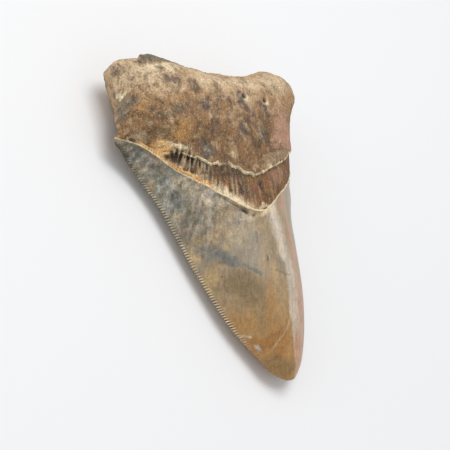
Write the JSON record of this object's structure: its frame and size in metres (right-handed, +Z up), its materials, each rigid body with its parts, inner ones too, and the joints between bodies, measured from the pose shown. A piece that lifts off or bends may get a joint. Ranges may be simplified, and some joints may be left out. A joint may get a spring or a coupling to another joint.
{
  "type": "megalodon tooth",
  "caption": "Fossil shark tooth with a broad two-lobed root, a dark band above the enamel and a serrated triangular crown, lying on its flatter face.",
  "frame": {"origin": "centre of the bounding box in plan, on the surface that the tooth lies on", "axes": "+Y from the tip towards the root, along the tooth's length; +Z up, out of the lingual (bulging) face; +X to the right, seen from above with the tip pointing at the viewer"},
  "size_m": [0.0871, 0.1102, 0.0252],
  "materials": {
    "fossil": "satin enamel in mottled grey, olive and ochre; matt tan-brown root"
  },
  "bodies": {
    "root": {"tooth": "fossil"}
  },
  "joints": []
}
